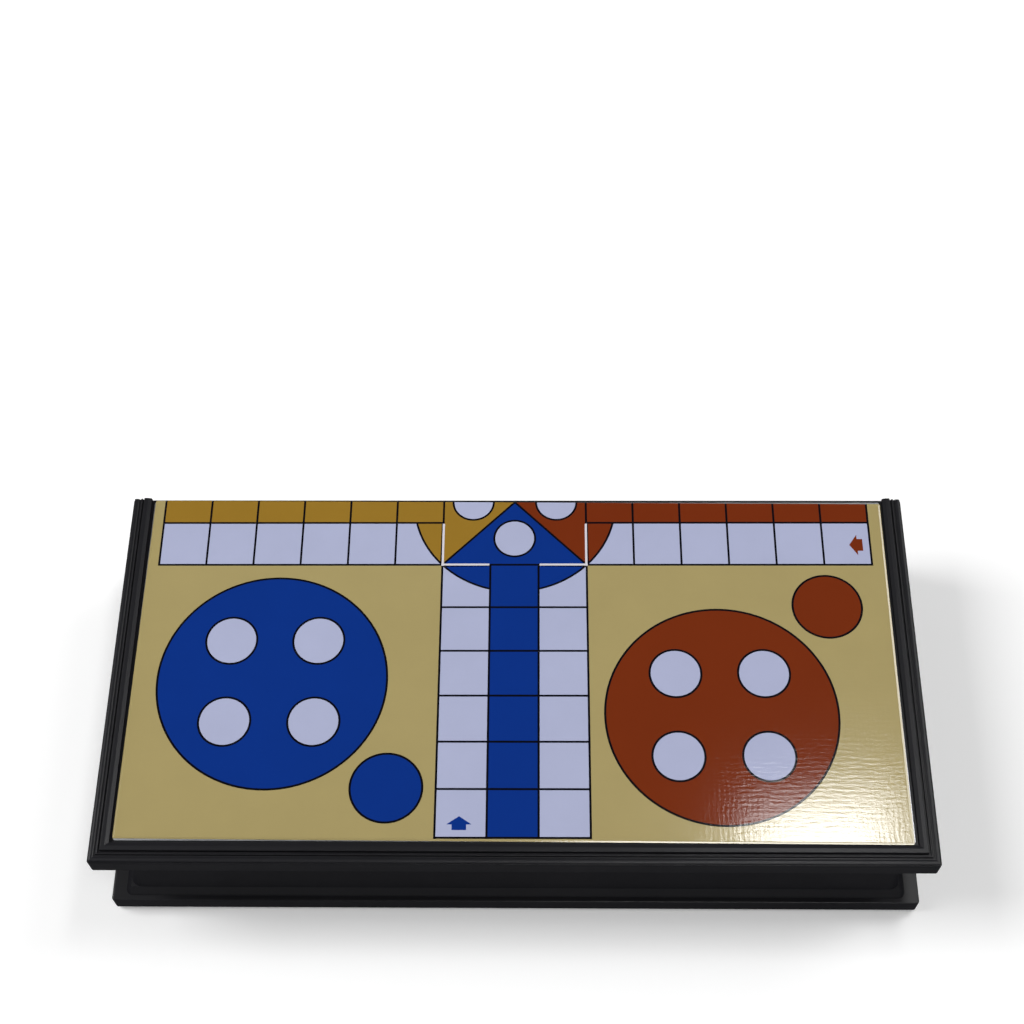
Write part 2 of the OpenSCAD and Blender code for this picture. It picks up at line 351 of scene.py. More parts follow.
@dataclass(frozen=True)
class LaminatedInk(Finish):
    """Offset ink under a gloss film that was embossed with a linen cloth while hot.

    The film is clear, so the ink keeps its depth, and the cloth shows only where a lamp glares in it.
    The threads are drawn a little coarser than the real cloth's, so that they show.
    """

    thread: float = 1.2
    slub_width: float = 0.6
    dash: float = 2.4
    weft_dash: float = 0.8
    weft_height: float = 0.7
    relief: float = 0.0034
    wander: float = 7.0
    wander_threads: float = 1.5
    ridge: float = 0.25
    slub_low: float = 0.35
    slub_high: float = 0.65
    mottle: float = 14.0
    mottle_tone: float = 0.03

    def pattern(self, tree: bpy.types.NodeTree, shader: bpy.types.Node) -> None:
        """Adds the ink's slight mottle and the film's linen relief.

        Args:
            tree: The material's nodes.
            shader: The shader that the pattern feeds.
        """
        self.vary(tree, shader, [self.mottle] * 3, self.mottle_tone, 0.0)
        slub = self.thread * self.slub_width
        warp = self.threads(tree, "Y", (self.dash, slub, self.dash))
        weft = self.threads(tree, "X", (slub, self.dash * self.weft_dash, self.dash))
        height = add_node(
            tree, "ShaderNodeMath", {"operation": "MULTIPLY_ADD"}, {0: weft, 1: self.weft_height, 2: warp}
        )
        bump = add_node(
            tree,
            "ShaderNodeBump",
            inputs={"Height": height.outputs[0], "Strength": 1.0, "Distance": self.relief * MM},
        )
        tree.links.new(bump.outputs["Normal"], shader.inputs["Normal"])
        tree.links.new(bump.outputs["Normal"], shader.inputs["Coat Normal"])

    def threads(self, tree: bpy.types.NodeTree, across: str, slub: Sequence[float]) -> bpy.types.NodeSocket:
        """The relief of one set of the cloth's threads, thick and thin along their length.

        Args:
            tree: The material's nodes.
            across: The axis that the threads follow each other along.
            slub: The size of a thick stretch along X, Y and Z, in millimetres.

        Returns:
            The height, from nought to about one.
        """
        axes = add_node(
            tree, "ShaderNodeSeparateXYZ", inputs={"Vector": self.place(tree, [self.thread] * 3)}
        )
        wander = add_node(
            tree,
            "ShaderNodeTexNoise",
            inputs={"Vector": self.place(tree, [self.wander] * 3), "Scale": 1.0, "Detail": 2.0},
        )
        count = add_node(
            tree,
            "ShaderNodeMath",
            {"operation": "MULTIPLY_ADD"},
            {0: wander.outputs["Fac"], 1: self.wander_threads, 2: axes.outputs[across]},
        )
        angle = add_node(
            tree, "ShaderNodeMath", {"operation": "MULTIPLY"}, {0: count.outputs[0], 1: math.tau}
        )
        wave = add_node(tree, "ShaderNodeMath", {"operation": "SINE"}, {0: angle.outputs[0]})
        thick = add_node(
            tree,
            "ShaderNodeTexNoise",
            inputs={"Vector": self.place(tree, slub), "Scale": 1.0, "Detail": 3.0, "Roughness": 0.65},
        )
        share = add_node(
            tree,
            "ShaderNodeMapRange",
            inputs={"Value": thick.outputs["Fac"],
                    "From Min": self.slub_low, "From Max": self.slub_high},
        )
        ridge = add_node(
            tree,
            "ShaderNodeMath",
            {"operation": "MULTIPLY_ADD"},
            {0: wave.outputs[0], 1: self.ridge, 2: share.outputs["Result"]},
        )
        return ridge.outputs[0]


@dataclass(frozen=True)
class RolledMetal(Finish):
    """Sheet or wire drawn through rolls or a die, which leaves fine lines along its length."""

    metallic: float = 1.0
    line: float = 0.12
    along: Sequence[float] = (40, 1, 1)
    line_tone: float = 0.1
    line_sheen: float = 0.25

    def pattern(self, tree: bpy.types.NodeTree, shader: bpy.types.Node) -> None:
        """Adds the rolling lines, as a drift of tone and sheen.

        Args:
            tree: The material's nodes.
            shader: The shader that the pattern feeds.
        """
        period = [self.line * a for a in self.along]
        self.vary(tree, shader, period, self.line_tone, self.line_sheen)


@dataclass(frozen=True)
class MouldedGloss(Finish):
    """Polystyrene from a polished mould: a bright skin with a slight ripple where it shrank."""

    flow: float = 3.0
    flow_tone: float = 0.05
    flow_sheen: float = 0.25
    ripple: float = 2.4
    ripple_height: float = 0.2
    ripple_strength: float = 0.12

    def pattern(self, tree: bpy.types.NodeTree, shader: bpy.types.Node) -> None:
        """Adds the drift of tone and the shrinkage ripple.

        Args:
            tree: The material's nodes.
            shader: The shader that the pattern feeds.
        """
        self.vary(tree, shader, [self.flow] * 3, self.flow_tone, self.flow_sheen)
        ripple = add_node(
            tree,
            "ShaderNodeTexNoise",
            inputs={"Vector": self.place(tree, [self.ripple] * 3), "Scale": 1.0, "Detail": 2.0},
        )
        bump = add_node(
            tree,
            "ShaderNodeBump",
            inputs={"Height": ripple.outputs["Fac"], "Strength": self.ripple_strength,
                    "Distance": self.ripple_height * MM},
        )
        tree.links.new(bump.outputs["Normal"], shader.inputs["Normal"])


def ink_finish(ink: Ink) -> Finish:
    """The finish of one ink under the film, or of the card's bare edge with its painted shade of the gap.

    Args:
        ink: The ink.

    Returns:
        Its finish: the gold is a bright lacquer itself, and the others are matt pigment.
    """
    # The sheet's sides: card darkened with painted shade of the gap round the sheet.
    if ink is Ink.CUT_EDGE:
        return Finish("cut_brown_card", ink.value, 0.85, specular=0.2)
    lacquer = ink is Ink.GOLD
    return LaminatedInk(
        name=f"laminated_{ink.name.lower()}_ink",
        colour=ink.value,
        roughness=0.12 if lacquer else 0.5,
        specular=0.8 if lacquer else 0.0,
        coat=1.0,
        coat_roughness=0.08,
    )


# Moulded polystyrene: deep black, with a soft sheen on the rails and nearly none on the sides.
BLACK_PLASTIC = MouldedBlack(
    "moulded_black_polystyrene", "#1C1C1F", 0.65, specular=0.0, coat=0.18, coat_roughness=0.3
)
# Rolled and tinned sheet: pale, with fine lines along the rolling.
TINPLATE = RolledMetal("rolled_tinplate", "#B9BBBD", 0.32)
# Drawn wire: a little darker than the sheet, with a tighter sheen.
PIN_STEEL = RolledMetal("drawn_steel_wire", "#A6A8AB", 0.28)
# Nickel plate: a clear, pale shine, with no direction.
NICKEL = RolledMetal("nickel_plated_magnet", "#C2C3C5", 0.2, line=0.6, along=(1, 1, 1))
# Polished moulding in ivory: a bright, even skin.
IVORY = MouldedGloss("ivory_moulded_plastic", "#E9E4D2", 0.22)
# Paint that has settled in the pips: black, and duller than the die.
PIP_PAINT = MouldedGloss("black_pip_paint", "#15151A", 0.3)
# Polished mouldings in plain game colours.
TOKEN_PLASTICS = {
    "blue": MouldedGloss("blue_moulded_plastic", "#1C489A", 0.2),
    "red": MouldedGloss("red_moulded_plastic", "#9A3A22", 0.2),
    "green": MouldedGloss("green_moulded_plastic", "#1F7A3C", 0.2),
    "yellow": MouldedGloss("yellow_moulded_plastic", "#D9B23C", 0.2),
}


def new_piece(name: str, mesh: bpy.types.Mesh, body: str) -> bpy.types.Object:
    """Puts a finished mesh into the scene as a piece of the object.

    Args:
        name: The piece's name.
        mesh: Its mesh, with its place in it.
        body: The moving body that it rides on.

    Returns:
        The piece.
    """
    piece = bpy.data.objects.new(name, mesh)
    bpy.context.scene.collection.objects.link(piece)
    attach(piece, body)
    LOG.info("piece %s: %d faces on %s", name, len(mesh.polygons), body)
    return piece


def circle(centre: Point, radius: float, steps: int = 72) -> Outline:
    """The points of a circle.

    Args:
        centre: Its middle.
        radius: Its radius.
        steps: How many points it gets.

    Returns:
        The points, counterclockwise.
    """
    turns = (math.tau * i / steps for i in range(steps))
    return [(centre[0] + radius * math.cos(t), centre[1] + radius * math.sin(t)) for t in turns]


def rectangle(low: Point, high: Point) -> Outline:
    """The corners of a rectangle, counterclockwise, from two that lie opposite."""
    return [low, (high[0], low[1]), high, (low[0], high[1])]


def turned(outline: Sequence[Point], angle: float, shift: Point = (0.0, 0.0)) -> Outline:
    """Turns an outline about the origin, then shifts it.

    Args:
        outline: The points.
        angle: The turn in radians, counterclockwise.
        shift: What is added afterwards.

    Returns:
        The new points.
    """
    c, s = math.cos(angle), math.sin(angle)
    return [(c * x - s * y + shift[0], s * x + c * y + shift[1]) for x, y in outline]


@dataclass(frozen=True)
class Patch:
    """One printed shape. A later patch covers an earlier one."""

    outline: Outline
    ink: Ink

    def loop(self) -> list[Vector]:
        """Puts the outline's points counterclockwise.

        Returns:
            The points, as vectors.
        """
        ends = zip(self.outline, self.outline[1:] + self.outline[:1])
        area = sum(x * v - u * y for (x, y), (u, v) in ends)
        return [Vector(p) for p in (self.outline if area > 0 else reversed(self.outline))]


@dataclass(frozen=True)
class LudoArt:
    """The common cross-shaped track of the game, about its centre.

    Each arm is drawn pointing towards -Y, and then turned into its place. Three lanes of six cells run
    out from the centre square, whose four triangles meet in the middle.
    """

    lane: float = 12.285
    cell: float = 12.11
    cells: int = 6
    key_line: float = 0.54
    pale_line: float = 0.56
    pale_shift: float = 0.07
    yard_centre: Point = (-59.65, -50.78)
    yard_radius: float = 28.42
    spot_reach: float = 10.9
    spot_radius: float = 6.37
    start_centre: Point = (-30.32, -78.7)
    start_radius: float = 8.69
    home_reach: float = 10.75
    home_radius: float = 5.25
    arrow_tip: float = 85.75
    arrow_shift: float = -0.4
    arrow_roof: float = 2.05
    arrow_post: float = 1.4
    arrow_half: float = 3.0
    arrow_post_half: float = 1.72
    yard_steps: int = 144
    arc_steps: int = 16
    colours: Sequence[Ink] = (Ink.BLUE, Ink.ORANGE, Ink.GREEN, Ink.OCHRE)

    @property
    def square(self) -> float:
        """Half the width of the centre square, and of an arm."""
        return 1.5 * self.lane

    @property
    def reach(self) -> float:
        """The distance of an arm's outer end from the centre."""
        return self.square + self.cells * self.cell

    def patches(self) -> Iterator[Patch]:
        """Draws the whole playing field.

        Yields:
            Every shape, in painting order.
        """
        parts = (self.yard, self.arm, self.bulge, self.triangle, self.pale_lines, self.home, self.arrow)
        for part in parts:
            for turn, colour in enumerate(self.colours):
                for patch in part(colour):
                    yield Patch(turned(patch.outline, turn * QUARTER_TURN), patch.ink)

    def lined(self, shape: Callable[[float], Outline], ink: Ink) -> Iterator[Patch]:
        """Draws a shape with its key line.

        Args:
            shape: Gives the outline, let out by a distance.
            ink: The ink inside the line.

        Yields:
            The line's own shape, then the inside.
        """
        yield Patch(shape(self.key_line / 2), Ink.KEY_LINE)
        yield Patch(shape(-self.key_line / 2), ink)

    def yard(self, colour: Ink) -> Iterator[Patch]:
        """Draws the large disc with its four spots, and the start disc.

        Args:
            colour: The arm's ink.

        Yields:
            The discs.
        """
        x, y = self.yard_centre
        yield from self.lined(lambda d: circle((x, y), self.yard_radius + d, self.yard_steps), colour)
        for i in (-1, 1):
            for j in (-1, 1):
                spot = (x + i * self.spot_reach, y + j * self.spot_reach)
                yield from self.lined(lambda d, p=spot: circle(p, self.spot_radius + d), Ink.WHITE)
        yield from self.lined(lambda d: circle(self.start_centre, self.start_radius + d), colour)

    def arm(self, colour: Ink) -> Iterator[Patch]:
        """Draws the arm's lines and its cells, the middle lane in the arm's colour.

        Args:
            colour: The arm's ink.

        Yields:
            The lines, then the cells.
        """
        half = self.key_line / 2
        yield Patch(
            rectangle((-self.square - half, -self.reach - half), (self.square + half, half - self.square)),
            Ink.KEY_LINE,
        )
        for row in range(self.cells):
            outer = -self.square - (row + 1) * self.cell
            for column in (-1, 0, 1):
                left = (column - 0.5) * self.lane
                low = (left + half, outer + half)
                high = (left + self.lane - half, outer + self.cell - half)
                yield Patch(rectangle(low, high), Ink.WHITE if column else colour)

    def bulge(self, colour: Ink) -> Iterator[Patch]:
        """Draws the two stretches of the coloured disc that reach past the square into the lanes.

        Args:
            colour: The arm's ink.

        Yields:
            Each stretch, after its key line.
        """
        half = self.key_line / 2
        disc = math.sqrt(2) * self.square
        for side in (-1, 1):
            for let_out, ink in ((half, Ink.KEY_LINE), (-half, colour)):
                radius, inner = disc + let_out, self.lane / 2 - let_out
                first, last = math.asin(inner / radius), math.acos(self.square / radius)
                arc = [first + (last - first) * i / self.arc_steps for i in range(self.arc_steps + 1)]
                outline = [(radius * math.sin(t), -radius * math.cos(t)) for t in arc]
                outline.append((inner, -self.square - (half + self.key_line / 3 if let_out < 0 else 0)))
                if let_out < 0:
                    base = outline[-1][1]
                    outline = [p for p in outline if p[1] <= base]
                yield Patch([(side * x, y) for x, y in outline], ink)

    def triangle(self, colour: Ink) -> Iterator[Patch]:
        """Draws the quarter of the centre square, between its diagonals.

        Args:
            colour: The arm's ink.

        Yields:
            The triangle, and for the first colour the square under it.
        """
        half = self.key_line / 2
        base, slope = self.square - half, half * math.sqrt(2)
        if colour is self.colours[0]:
            yield Patch(rectangle((-self.square, -self.square), (self.square, self.square)), Ink.KEY_LINE)
        yield Patch([(0.0, -slope), (slope - base, -base), (base - slope, -base)], colour)

    def pale_lines(self, colour: Ink) -> Iterator[Patch]:
        """Draws the two white lines on the square's edge, beside the middle lane.

        Args:
            colour: The arm's ink, which is not used.

        Yields:
            The lines.
        """
        del colour
        half, middle = self.pale_line / 2, self.pale_shift - self.square
        for side in (-1, 1):
            ends = sorted((side * (self.lane / 2 + self.key_line / 2), side * (self.square + half)))
            yield Patch(rectangle((ends[0], middle - half), (ends[1], middle + half)), Ink.PALE_LINE)

    def home(self, colour: Ink) -> Iterator[Patch]:
        """Draws the white disc in the triangle.

        Args:
            colour: The arm's ink, which is not used.

        Yields:
            The disc.
        """
        del colour
        yield from self.lined(lambda d: circle((0.0, -self.home_reach), self.home_radius + d), Ink.WHITE)

    def arrow(self, colour: Ink) -> Iterator[Patch]:
        """Draws the block arrow in the cell where a token enters, pointing at the centre.

        Args:
            colour: The arm's ink.

        Yields:
            The arrow.
        """
        x = self.arrow_shift - self.lane
        eave = -self.arrow_tip - self.arrow_roof
        foot = eave - self.arrow_post
        yield Patch(
            [
                (x, -self.arrow_tip), (x - self.arrow_half, eave), (x - self.arrow_post_half, eave),
                (x - self.arrow_post_half, foot), (x + self.arrow_post_half, foot),
                (x + self.arrow_post_half, eave), (x + self.arrow_half, eave),
            ],
            colour,
        )


@dataclass
class PrintedFace:
    """The printed sheet of one half, cut a little askew, its edge rolled down a hair by the knife.

    Plan coordinates have the fold along y = 0 and the sheet at y < 0, as it lies in the box.
    """

    half: Half
    art_turn: float
    art_shift: Point
    sheet_turn: float
    roll: float = 0.14
    roll_width: float = 0.5
    roll_steps: int = 3
    roll_power: float = 1.2
    corner: float = 0.5
    least_corner: float = 0.05
    corner_steps: int = 4
    margin: float = 1.0
    art: LudoArt = field(default_factory=LudoArt)

    def __post_init__(self) -> None:
        """Takes the sheet's size and place from its solid."""
        low, high = (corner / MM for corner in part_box(f"{self.half.label}_printed_sheet"))
        self.low, self.high = low, high
        self.middle: Point = ((low.x + high.x) / 2, (low.y + high.y) / 2)
        self.face_z = high.z if self.half is Half.UPPER else low.z
        self.thickness = high.z - low.z

    def edge(self, inset: float) -> Outline:
        """The sheet's outline, drawn in by a distance, with round corners.

        Args:
            inset: The distance from the cut edge.

        Returns:
            The points in world millimetres.
        """
        half_x = (self.high.x - self.low.x) / 2 - inset
        half_y = (self.high.y - self.low.y) / 2 - inset
        r = max(self.corner - inset, self.least_corner)
        points: Outline = []
        for quarter, (sx, sy) in enumerate(((1, 1), (-1, 1), (-1, -1), (1, -1))):
            for i in range(self.corner_steps + 1):
                t = QUARTER_TURN * (quarter + i / self.corner_steps)
                points.append((sx * (half_x - r) + r * math.cos(t), sy * (half_y - r) + r * math.sin(t)))
        return turned(points, self.sheet_turn, self.middle)

    def drop(self, point: Point) -> float:
        """How far the sheet's cut edge is rolled down at a point.

        Args:
            point: A point of the sheet.

        Returns:
            The depth under the flat of the face.
        """
        (x, y), = turned([(point[0] - self.middle[0], point[1] - self.middle[1])], -self.sheet_turn)
        inside = min(
            (self.high.x - self.low.x) / 2 - abs(x), (self.high.y - self.low.y) / 2 - abs(y)
        )
        share = max(0.0, 1 - max(inside, 0.0) / self.roll_width)
        return self.roll * share ** self.roll_power

    def printed(self, fold_y: float) -> Iterator[Patch]:
        """Lays the playing field over this sheet.

        Args:
            fold_y: Where the fold lies.

        Yields:
            The patches that reach the sheet, in world millimetres.
        """
        for patch in self.art.patches():
            outline = patch.outline
            if self.half is Half.LOWER:
                outline = [(x, -y) for x, y in outline]
            outline = turned(outline, self.art_turn, (self.art_shift[0], fold_y + self.art_shift[1]))
            if any(y < self.high.y + self.margin for _, y in outline):
                yield Patch(outline, patch.ink)

    def build(self, fold_y: float) -> bpy.types.Object:
        """Cuts the sheet into its printed patches and makes it a closed thin slab.

        Args:
            fold_y: Where the fold lies.

        Returns:
            The finished piece.
        """
        cut = [self.edge(i * self.roll_width / self.roll_steps) for i in range(self.roll_steps + 1)]
        patches = [Patch(outline, Ink.GOLD) for outline in cut]
        patches += self.printed(fold_y)
        corners: list[Vector] = []
        loops: list[list[int]] = []
        for patch in patches:
            loops.append(list(range(len(corners), len(corners) + len(patch.outline))))
            corners += patch.loop()
        flat, _, tiles, _, _, covering = delaunay_2d_cdt(corners, [], loops, 0, 1e-4)
        inks = list(Ink)
        shape = bmesh.new()
        top = [
            shape.verts.new((p.x * MM, p.y * MM, (self.face_z - self.half.value * self.drop(p)) * MM))
            for p in flat
        ]
        for tile, over in zip(tiles, covering):
            if 0 not in over:
                continue
            order = tile if self.half is Half.UPPER else tile[::-1]
            face = shape.faces.new([top[i] for i in order])
            face.material_index = inks.index(patches[max(over)].ink)
        bmesh.ops.delete(shape, geom=[v for v in shape.verts if not v.link_faces], context="VERTS")
        # The sides and underside take the card edge, darkened with painted shade of the gap.
        self.close(shape, inks.index(Ink.CUT_EDGE))
        mesh = bpy.data.meshes.new(f"{self.half.label}_printed_face")
        shape.to_mesh(mesh)
        shape.free()
        for ink in inks:
            mesh.materials.append(bpy.data.materials[ink_finish(ink).name])
        piece = new_piece(mesh.name, mesh, self.half.body)
        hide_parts(f"{self.half.label}_printed_sheet")
        return piece

    def close(self, shape: bmesh.types.BMesh, side_ink: int) -> None:
        """Gives the open top its sides and its underside.

        Args:
            shape: The top, as one open surface.
            side_ink: The material of what is added: card, darkened with painted shade of the gap round the
                sheet.
        """
        rim = [e for e in shape.edges if e.is_boundary]
        sides = bmesh.ops.extrude_edge_only(shape, edges=rim)["geom"]
        foot_z = (self.face_z - self.half.value * self.thickness) * MM
        for vert in (g for g in sides if isinstance(g, bmesh.types.BMVert)):
            vert.co.z = foot_z
        under = bmesh.ops.contextual_create(
            shape, geom=[g for g in sides if isinstance(g, bmesh.types.BMEdge) and g.is_boundary]
        )["faces"]
        for face in [g for g in sides if isinstance(g, bmesh.types.BMFace)] + under:
            face.material_index = side_ink
        bmesh.ops.triangulate(shape, faces=under)
        bmesh.ops.recalc_face_normals(shape, faces=shape.faces)


@dataclass
class Repeater:
    """A small shape set out over a list of places by a node tree."""

    name: str
    material: bpy.types.Material

    def spread(self, places: bpy.types.Object, unit: bpy.types.Object) -> bpy.types.Mesh:
        """Sets a copy of the unit on every vertex of the places, turned to the vertex's facing.

        Args:
            places: Vertices, with a facing attribute for the way that each copy looks.
            unit: The shape, looking along +Z, with its middle at the origin.

        Returns:
            All copies, as one plain mesh.
        """
        tree = bpy.data.node_groups.new(self.name, "GeometryNodeTree")
        for label, kind in (("Places", "NodeSocketGeometry"), ("Unit", "NodeSocketObject"),
                            ("Size", "NodeSocketFloat")):
            tree.interface.new_socket(label, in_out="INPUT", socket_type=kind)
        tree.interface.new_socket("Copies", in_out="OUTPUT", socket_type="NodeSocketGeometry")
        source = add_node(tree, "NodeGroupInput")
        shape = add_node(tree, "GeometryNodeObjectInfo", inputs={"Object": source.outputs["Unit"]})
        facing = add_node(
            tree, "GeometryNodeInputNamedAttribute", {"data_type": "FLOAT_VECTOR"}, {"Name": "facing"}
        )
        turn = add_node(
            tree, "FunctionNodeAlignRotationToVector", {"axis": "Z"},
            {"Vector": facing.outputs["Attribute"]},
        )
        copies = add_node(
            tree,
            "GeometryNodeInstanceOnPoints",
            inputs={"Points": source.outputs["Places"], "Instance": shape.outputs["Geometry"],
                    "Rotation": turn.outputs["Rotation"], "Scale": source.outputs["Size"]},
        )
        real = add_node(
            tree, "GeometryNodeRealizeInstances", inputs={"Geometry": copies.outputs["Instances"]}
        )
        dressed = add_node(
            tree,
            "GeometryNodeSetMaterial",
            inputs={"Geometry": real.outputs["Geometry"], "Material": self.material},
        )
        add_node(tree, "NodeGroupOutput", inputs={"Copies": dressed.outputs["Geometry"]})
        modifier = places.modifiers.new(self.name, "NODES")
        modifier.node_group = tree
        values = {"Unit": unit, "Size": 1.0}
        for item in tree.interface.items_tree:
            if item.in_out == "INPUT" and item.name in values:
                modifier[item.identifier] = values[item.name]
        graph = bpy.context.evaluated_depsgraph_get()
        mesh = bpy.data.meshes.new_from_object(places.evaluated_get(graph))
        mesh.name = self.name
        for helper in (places, unit):
            bpy.data.objects.remove(helper)
        return mesh


def helper_object(name: str, shape: bmesh.types.BMesh) -> bpy.types.Object:
    """Makes a working object that is removed again before the scene is finished.

    Args:
        name: The object's name.
        shape: Its shape, which is freed.

    Returns:
        The object.
    """
    mesh = bpy.data.meshes.new(name)
    shape.to_mesh(mesh)
    shape.free()
    made = bpy.data.objects.new(name, mesh)
    bpy.context.scene.collection.objects.link(made)
    return made


def place_points(name: str, places: Sequence[tuple[Vector, Vector]]) -> bpy.types.Object:
    """Makes the vertices that a repeater sets its copies on.

    Args:
        name: The object's name.
        places: The point and the facing of each copy, in metres.

    Returns:
        The working object.
    """
    shape = bmesh.new()
    facing = shape.verts.layers.float_vector.new("facing")
    for point, way in places:
        shape.verts.new(point)[facing] = way
    return helper_object(name, shape)


@dataclass
class Tray:
    """One tray moulding, with its steel sheet."""

    half: Half

    def dress(self, nodes: Mapping[str, bpy.types.Object], black: bpy.types.Material,
              tin: bpy.types.Material) -> None:
        """Gives the moulding and its steel sheet their finishes.

        Args:
            nodes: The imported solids.
            black: The moulding's material.
            tin: The steel sheet's material.
        """
        nodes[f"{self.half.label}_tray"].data.materials[0] = black
        nodes[f"{self.half.label}_steel_sheet"].data.materials[0] = tin
        LOG.info("tray and steel sheet of the %s half dressed", self.half.label)


@dataclass
class Die:
    """The die, with paint in its pips."""

    pip_radius: float = 0.75
    pip_depth: float = 0.35
    pip_pitch: float = 2.2
    paint: float = 0.03
    paint_reach: float = 0.97
    rim_share: float = 0.6
    floor_share: float = 0.3
    rings: int = 4
    steps: int = 20

    def __post_init__(self) -> None:
        """Takes the die's place and size from its solid."""
        low, high = (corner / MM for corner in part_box("die"))
        self.centre = (low + high) / 2
        self.reach = (high.x - low.x) / 2

    def spots(self, count: int) -> list[Point]:
        """The middles of a face's pips.

        Args:
            count: How many pips the face has.

        Returns:
            The points, in millimetres from the face's middle.
        """
        p = self.pip_pitch
        found: list[Point] = [(0.0, 0.0)] if count % 2 else []
        found += [(-p, -p), (p, p)] if count > 1 else []
        found += [(-p, p), (p, -p)] if count > 3 else []
        found += [(-p, 0.0), (p, 0.0)] if count > 5 else []
        return found

    def places(self) -> list[tuple[Vector, Vector]]:
        """Finds where each pip of the solid lies.

        Returns:
            The middle of each pip, in metres, and the way that it looks.
        """
        turns = (
            (6, Matrix.Identity(3)),
            (1, Matrix.Rotation(math.pi, 3, "X")),
            (5, Matrix.Rotation(QUARTER_TURN, 3, "X")),
            (2, Matrix.Rotation(-QUARTER_TURN, 3, "X")),
            (3, Matrix.Rotation(QUARTER_TURN, 3, "Y")),
            (4, Matrix.Rotation(-QUARTER_TURN, 3, "Y")),
        )
        return [
            ((self.centre + turn @ Vector((x, y, self.reach))) * MM, turn @ Vector((0, 0, 1)))
            for count, turn in turns for x, y in self.spots(count)
        ]

    def bowl(self) -> bmesh.types.BMesh:
        """Makes the paint in one pip: a thin closed bowl that lies just above the pip's own.

        Returns:
            The bowl, looking along +Z.
        """
        bowl_radius = (self.pip_radius ** 2 + self.pip_depth ** 2) / (2 * self.pip_depth)
        shape = bmesh.new()
        levels = []
        for ring in range(self.rings + 1):
            r = self.pip_radius * self.paint_reach * (1 - ring / (self.rings + 1))
            z = -self.pip_depth + self.paint + bowl_radius - math.sqrt(bowl_radius ** 2 - r * r)
            round_rim = circle((0, 0), r, self.steps)
            levels.append([shape.verts.new((x * MM, y * MM, z * MM)) for x, y in round_rim])
        for outer, inner in zip(levels, levels[1:]):
            for i in range(self.steps):
                j = (i + 1) % self.steps
                shape.faces.new((outer[i], outer[j], inner[j], inner[i]))
        shape.faces.new(levels[-1])
        under = [
            shape.verts.new((v.co.x, v.co.y, v.co.z - self.paint * self.rim_share * MM))
            for v in levels[0]
        ]
        for i in range(self.steps):
            j = (i + 1) % self.steps
            shape.faces.new((levels[0][j], levels[0][i], under[i], under[j]))
        floor = shape.verts.new((0, 0, (-self.pip_depth + self.paint * self.floor_share) * MM))
        for i in range(self.steps):
            j = (i + 1) % self.steps
            shape.faces.new((under[j], under[i], floor))
        return shape

    def build(self, nodes: Mapping[str, bpy.types.Object], ivory: bpy.types.Material,
              paint: bpy.types.Material) -> bpy.types.Object:
        """Gives the die its finish and its painted pips.

        Args:
            nodes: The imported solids.
            ivory: The die's material.
            paint: The pips' material.

        Returns:
            The paint, as one piece.
        """
        nodes["die"].data.materials[0] = ivory
        repeater = Repeater("die_pip_paint", paint)
        mesh = repeater.spread(
            place_points("pip_places", self.places()), helper_object("pip_bowl", self.bowl())
        )
        for polygon in mesh.polygons:
            polygon.use_smooth = True
        return new_piece("die_pip_paint", mesh, Half.LOWER.body)


@dataclass
class Tokens:
    """The sixteen tokens and the magnets in their bases."""

    count: int = 4

    def dress(self, nodes: Mapping[str, bpy.types.Object], nickel: bpy.types.Material) -> None:
        """Gives every token its colour, and every magnet its plating.

        Args:
            nodes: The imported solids.
            nickel: The magnets' material.
        """
        for colour, finish in TOKEN_PLASTICS.items():
            plastic = finish.build()
            for number in range(1, self.count + 1):
                nodes[f"token_{colour}_{number}"].data.materials[0] = plastic
                nodes[f"magnet_{colour}_{number}"].data.materials[0] = nickel
            LOG.info("tokens %s: %d with their magnets", colour, self.count)


@dataclass
class PhotoCamera:
    """The camera that the photograph was taken with, fitted to the board's printed grid."""

    place: Vector = field(default_factory=lambda: Vector((6.46, -182.87, 432.82)))
    elevation: float = 60.27
    bearing: float = 1.87
    roll: float = 1.58
    lens: float = 61.98
    sensor: float = 36.0
    nearest: float = 0.01
    farthest: float = 100.0

    def build(self) -> bpy.types.Object:
        """Makes the camera and sets it as the scene's.

        Returns:
            The camera.
        """
        e, b, r = (math.radians(a) for a in (self.elevation, self.bearing, self.roll))
        back = Vector((math.sin(b) * math.cos(e), -math.cos(b) * math.cos(e), math.sin(e)))
        right = Vector((math.cos(b), math.sin(b), 0))
        up = back.cross(right)
        rolled_right = right * math.cos(r) - up * math.sin(r)
        rolled_up = right * math.sin(r) + up * math.cos(r)
        data = bpy.data.cameras.new("photo_camera")
        data.lens, data.sensor_width = self.lens, self.sensor
        data.clip_start, data.clip_end = self.nearest, self.farthest
        camera = bpy.data.objects.new("photo_camera", data)
        camera.matrix_world = Matrix.Translation(self.place * MM) @ Matrix(
            (rolled_right, rolled_up, back)
        ).transposed().to_4x4()
        bpy.context.scene.collection.objects.link(camera)
        bpy.context.scene.camera = camera
        return camera


@dataclass(frozen=True)
class Lamp:
    """One soft lamp, looking at the middle of the box, with its depth along the room's Y."""

    name: str
    place: Place
    width: float
    depth: float
    watts: float
    colour: str = "#FFFFFF"

    def build(self) -> None:
        """Makes the lamp."""
        data = bpy.data.lights.new(self.name, "AREA")
        data.shape = "RECTANGLE"
        data.size, data.size_y = self.width, self.depth
        data.energy = self.watts
        data.color = linear(self.colour)[:3]
        lamp = bpy.data.objects.new(self.name, data)
        back = Vector(self.place).normalized()
        side = Vector((0, 1, 0)).cross(back).normalized()
        lamp.matrix_world = Matrix.Translation(self.place) @ Matrix(
            (side, back.cross(side), back)
        ).transposed().to_4x4()
        bpy.context.scene.collection.objects.link(lamp)


